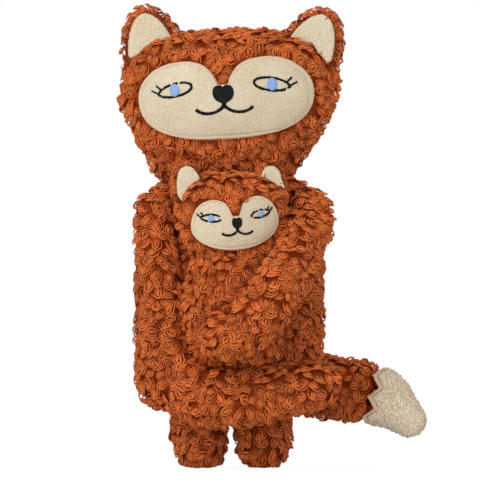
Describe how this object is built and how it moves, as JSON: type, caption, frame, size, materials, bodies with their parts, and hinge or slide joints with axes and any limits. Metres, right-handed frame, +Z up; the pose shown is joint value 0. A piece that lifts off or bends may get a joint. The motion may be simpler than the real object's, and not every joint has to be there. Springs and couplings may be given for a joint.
{
  "type": "plush fox",
  "caption": "Stuffed fox in looped yarn pile that stands on stub legs and hugs a smaller fox to its belly; arms, head, tail and legs turn, and the small fox lifts out.",
  "frame": {"origin": "on the floor, under the middle of the whole toy", "axes": "+Z up, the faces look along -Y, +X is at the viewer's right, where the tail lies"},
  "size_m": [0.2152, 0.1778, 0.3246],
  "materials": {
    "looped_yarn_pile": "matte",
    "cream_terry": "matte",
    "seam_tape": "matte",
    "black_thread": "satin",
    "blue_thread": "satin"
  },
  "bodies": {
    "trunk": {"mother_body": "looped_yarn_pile"},
    "big_head": {"mother_head": "looped_yarn_pile", "mother_face_patch": "cream_terry", "mother_nose": "black_thread", "mother_mouth": "black_thread", "mother_left_eye_outline": "black_thread", "mother_left_iris": "blue_thread", "mother_right_eye_outline": "black_thread", "mother_right_iris": "blue_thread", "mother_left_ear": "looped_yarn_pile", "mother_left_ear_lining": "cream_terry", "mother_right_ear": "looped_yarn_pile", "mother_right_ear_lining": "cream_terry"},
    "left_arm": {"mother_left_arm": "looped_yarn_pile"},
    "right_arm": {"mother_right_arm": "looped_yarn_pile"},
    "left_leg": {"mother_left_leg": "looped_yarn_pile"},
    "right_leg": {"mother_right_leg": "looped_yarn_pile"},
    "tail": {"tail": "looped_yarn_pile", "tail_band": "seam_tape", "tail_tip": "cream_terry"},
    "small_fox": {"baby_body": "looped_yarn_pile", "baby_head": "looped_yarn_pile", "baby_face_patch": "cream_terry", "baby_nose": "black_thread", "baby_mouth": "black_thread", "baby_left_eye_outline": "black_thread", "baby_left_iris": "blue_thread", "baby_right_eye_outline": "black_thread", "baby_right_iris": "blue_thread", "baby_left_ear": "looped_yarn_pile", "baby_left_ear_lining": "cream_terry", "baby_right_ear": "looped_yarn_pile", "baby_right_ear_lining": "cream_terry"}
  },
  "joints": [
    {"name": "left_arm_open", "type": "hinge", "parent": "trunk", "child": "left_arm", "pos_m": [-0.07562, -0.0169, 0.064], "axis": [-0.0795, 0.0418, 0.996], "range_deg": [-110, 0]},
    {"name": "right_arm_open", "type": "hinge", "parent": "trunk", "child": "right_arm", "pos_m": [0.02438, -0.0009, 0.1825], "axis": [0, 0, 1], "range_deg": [0, 95]},
    {"name": "head_turn", "type": "hinge", "parent": "trunk", "child": "big_head", "pos_m": [-0.03012, 0.0221, 0.203], "axis": [0, 0, 1], "range_deg": [-30, 30]},
    {"name": "tail_swing", "type": "hinge", "parent": "trunk", "child": "tail", "pos_m": [-0.02612, 0.0641, 0.071], "axis": [0, 0, 1], "range_deg": [0, 105]},
    {"name": "left_leg_swing", "type": "hinge", "parent": "trunk", "child": "left_leg", "pos_m": [-0.05237, 0.0181, 0.095], "axis": [1, 0, 0], "range_deg": [-6, 12]},
    {"name": "right_leg_swing", "type": "hinge", "parent": "trunk", "child": "right_leg", "pos_m": [-0.00787, 0.0181, 0.095], "axis": [1, 0, 0], "range_deg": [-6, 12]},
    {"name": "small_fox_lift", "type": "slide", "parent": "trunk", "child": "small_fox", "axis": [0, 0, 1], "range_m": [0, 0.25]}
  ]
}
